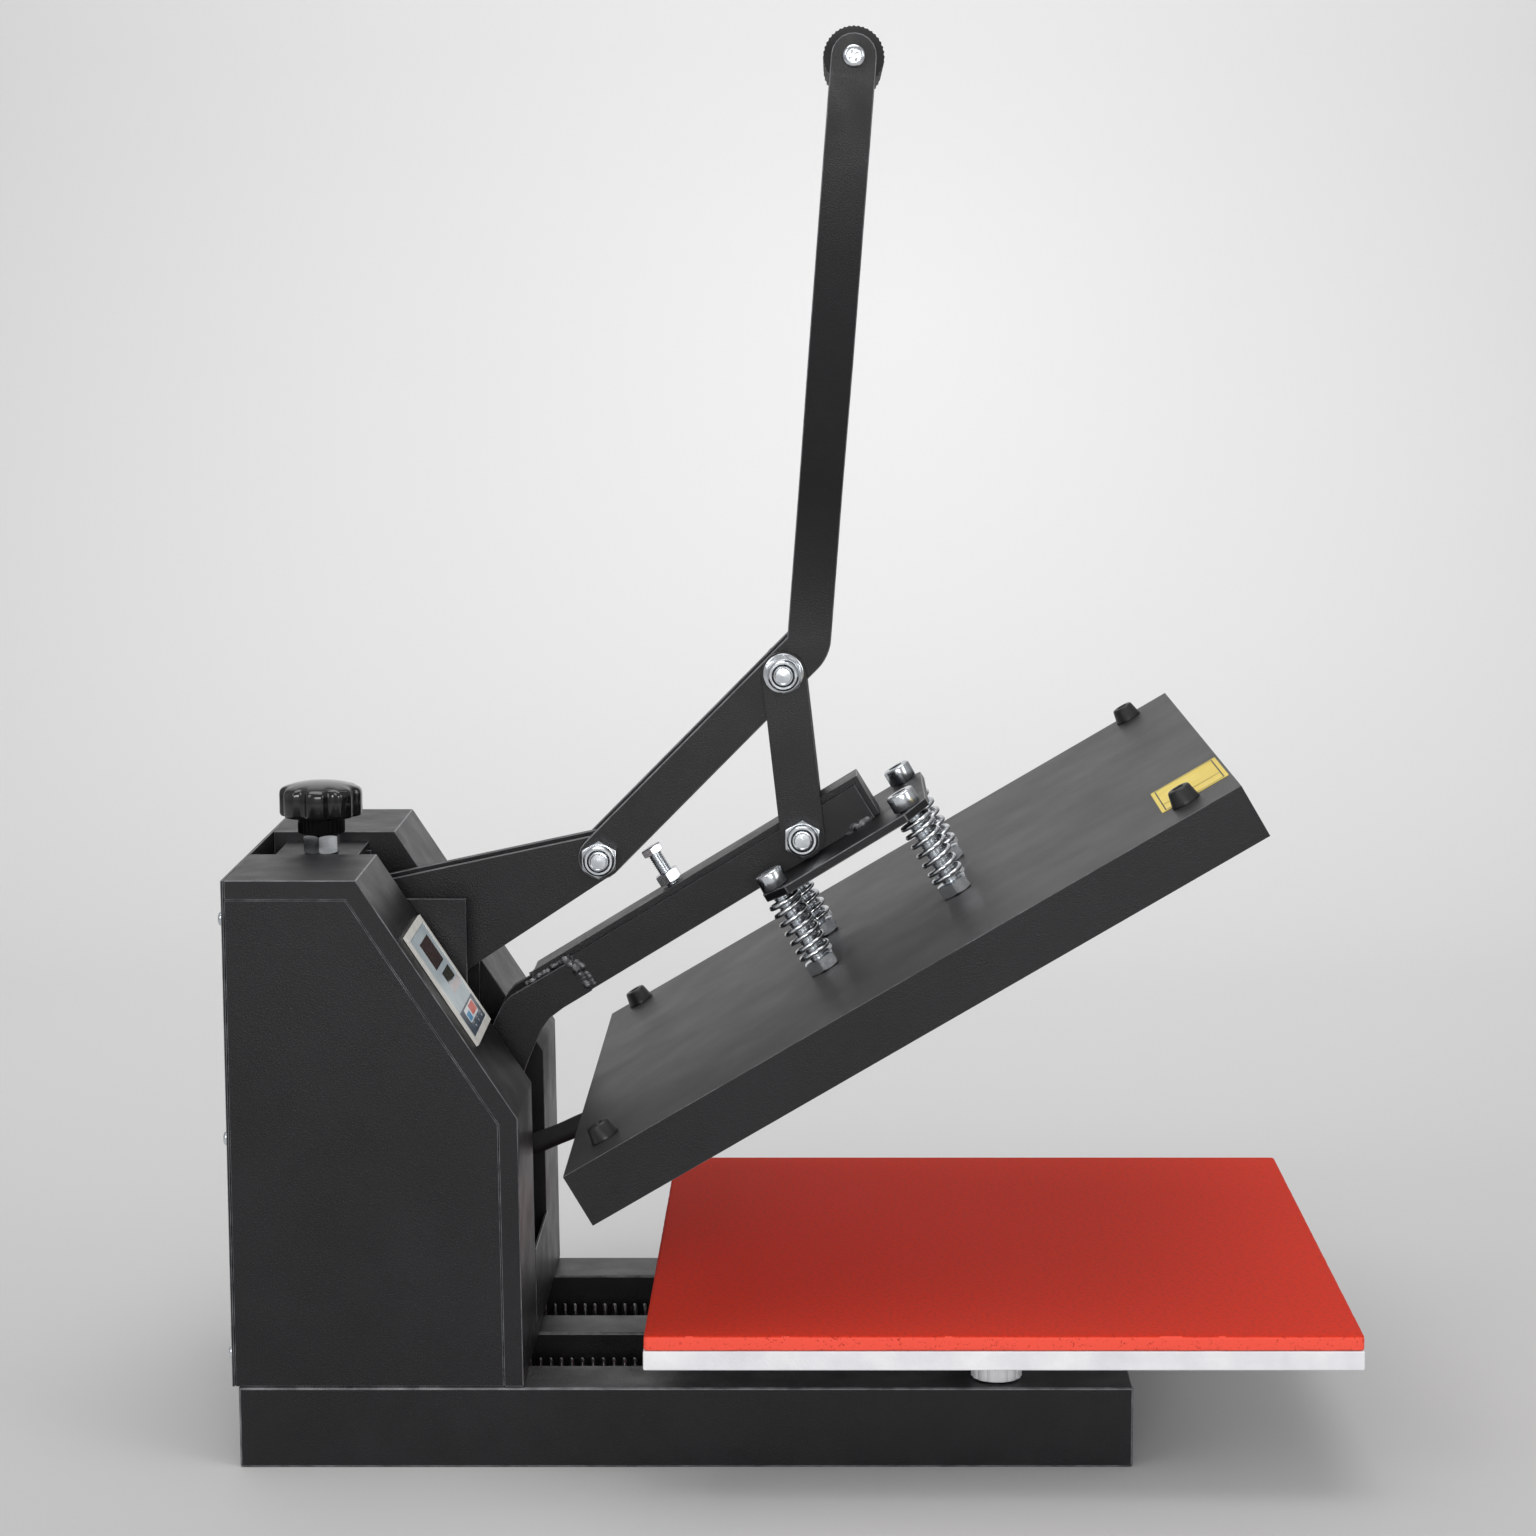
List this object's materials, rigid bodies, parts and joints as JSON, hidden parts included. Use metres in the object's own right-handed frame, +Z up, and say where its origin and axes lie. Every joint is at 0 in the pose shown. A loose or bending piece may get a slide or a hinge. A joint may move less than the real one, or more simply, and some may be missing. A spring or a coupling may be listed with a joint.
{
  "type": "heat press",
  "caption": "Clamshell heat press with a knee lever, sprung upper platen, red sponge pad and boxed tower with controls.",
  "frame": {"origin": "centre of the base's footprint, on the bench", "axes": "+Z up, +X towards the operator's side where the press opens, +Y across the press, away from the control panel's side"},
  "size_m": [0.6112, 0.408, 0.778],
  "materials": {
    "coated_steel": "fine-textured black powder coat",
    "zinc": "bright zinc plate",
    "cast_aluminium": "cast, lightly machined",
    "silicone": "matte sponge",
    "gloss_black": "gloss",
    "black_rubber": "matte",
    "spring_steel": "oiled dark steel",
    "panel_plastic": "satin",
    "window_plastic": "smoked",
    "key_plastic": "satin",
    "circuit_board": "lacquered",
    "mineral_fibre": "compressed blanket",
    "inlet_plastic": "matte"
  },
  "bodies": {
    "frame": {"base_frame": "coated_steel", "base_centre_beam": "coated_steel", "lower_platen": "cast_aluminium", "silicone_pad": "silicone", "tower_near_cover": "coated_steel", "tower_near_panel": "coated_steel", "tower_far_cover": "coated_steel", "tower_far_panel": "coated_steel", "rear_panel": "coated_steel", "slot_plate": "coated_steel", "mast_near_plate": "coated_steel", "mast_far_plate": "coated_steel", "mast_bridge": "coated_steel", "bracket_bolt": "zinc", "control_bezel": "panel_plastic", "display_upper": "window_plastic", "display_lower": "window_plastic", "control_board": "circuit_board", "power_inlet": "inlet_plastic", "extension_spring_near": "spring_steel", "extension_spring_far": "spring_steel", "cable_sleeve": "black_rubber"},
    "arm": {"arm_tube": "coated_steel", "arm_near_bar": "coated_steel", "arm_far_bar": "coated_steel", "arm_shaft": "coated_steel", "cross_plate": "coated_steel", "stop_bolt": "zinc", "link_low_bolt": "zinc"},
    "heater": {"heater_cover": "coated_steel", "heat_plate": "cast_aluminium", "insulation": "mineral_fibre", "platen_screw_rear_near": "zinc", "platen_screw_front_near": "zinc", "platen_screw_rear_far": "zinc", "platen_screw_front_far": "zinc", "platen_spring_rear_near": "zinc", "platen_spring_front_near": "zinc", "platen_spring_rear_far": "zinc", "platen_spring_front_far": "zinc"},
    "lever": {"lever_near_bar": "coated_steel", "lever_far_bar": "coated_steel", "grip": "black_rubber", "grip_bolt": "zinc"},
    "link": {"link_near": "coated_steel", "link_far": "coated_steel", "link_near_stud": "zinc", "link_far_stud": "zinc"},
    "bracket": {"bracket_near_plate": "coated_steel", "bracket_far_plate": "coated_steel", "pressure_trunnion": "zinc", "lever_pivot_bolt": "zinc"},
    "knob": {"pressure_knob": "gloss_black", "pressure_screw": "zinc"},
    "set_key": {"key_set": "key_plastic"},
    "down_key": {"key_down": "key_plastic"},
    "up_key": {"key_up": "key_plastic"},
    "power_switch": {"power_rocker": "gloss_black"}
  },
  "joints": [
    {"name": "arm_tilt", "type": "hinge", "parent": "frame", "child": "arm", "pos_m": [-0.1516, 0, 0.0985], "axis": [0, 1, 0], "range_deg": [0, 30.48], "stiffness_Nm_per_rad": 14, "springref_deg": -160.43, "deforming": ["extension_spring_near", "extension_spring_far", "cable_sleeve"]},
    {"name": "heater_float", "type": "slide", "parent": "arm", "child": "heater", "axis": [-0.5072, 0, 0.8618], "range_m": [0, 0.008], "stiffness_N_per_m": 9000, "springref_m": -0.012, "deforming": ["platen_spring_rear_near", "platen_spring_front_near", "platen_spring_rear_far", "platen_spring_front_far"]},
    {"name": "bracket_tilt", "type": "hinge", "parent": "frame", "child": "bracket", "pos_m": [-0.143, 0, 0.258], "axis": [0, 1, 0], "range_deg": [-1.4, 1.4]},
    {"name": "lever_swing", "type": "hinge", "parent": "bracket", "child": "lever", "pos_m": [-0.0517, 0, 0.3195], "axis": [0, 1, 0], "range_deg": [-0.05, 81.85]},
    {"name": "link_swing", "type": "hinge", "parent": "arm", "child": "link", "pos_m": [0.06295, 0, 0.33213], "axis": [0, 1, 0], "range_deg": [-88.38, 0.05]},
    {"name": "knob_turn", "type": "hinge", "parent": "frame", "child": "knob", "pos_m": [-0.2115, 0, 0.345], "axis": [0, 0, 1], "range_deg": [-360, 360]},
    {"name": "set_key_press", "type": "slide", "parent": "frame", "child": "set_key", "axis": [-0.8374, 0, -0.5467], "range_m": [0, 0.0006], "stiffness_N_per_m": 400, "springref_m": -0.0006},
    {"name": "down_key_press", "type": "slide", "parent": "frame", "child": "down_key", "axis": [-0.8374, 0, -0.5467], "range_m": [0, 0.0006], "stiffness_N_per_m": 400, "springref_m": -0.0006},
    {"name": "up_key_press", "type": "slide", "parent": "frame", "child": "up_key", "axis": [-0.8374, 0, -0.5467], "range_m": [0, 0.0006], "stiffness_N_per_m": 400, "springref_m": -0.0006},
    {"name": "power_rock", "type": "hinge", "parent": "frame", "child": "power_switch", "pos_m": [-0.2448, 0.085, 0.128], "axis": [0, 1, 0], "range_deg": [0, 16]}
  ],
  "couplings": [
    {"joint": "lever_swing", "follows": "arm_tilt", "ratio": 2.6838},
    {"joint": "link_swing", "follows": "arm_tilt", "ratio": -2.8979},
    {"joint": "knob_turn", "follows": "bracket_tilt", "ratio": 245.94}
  ]
}
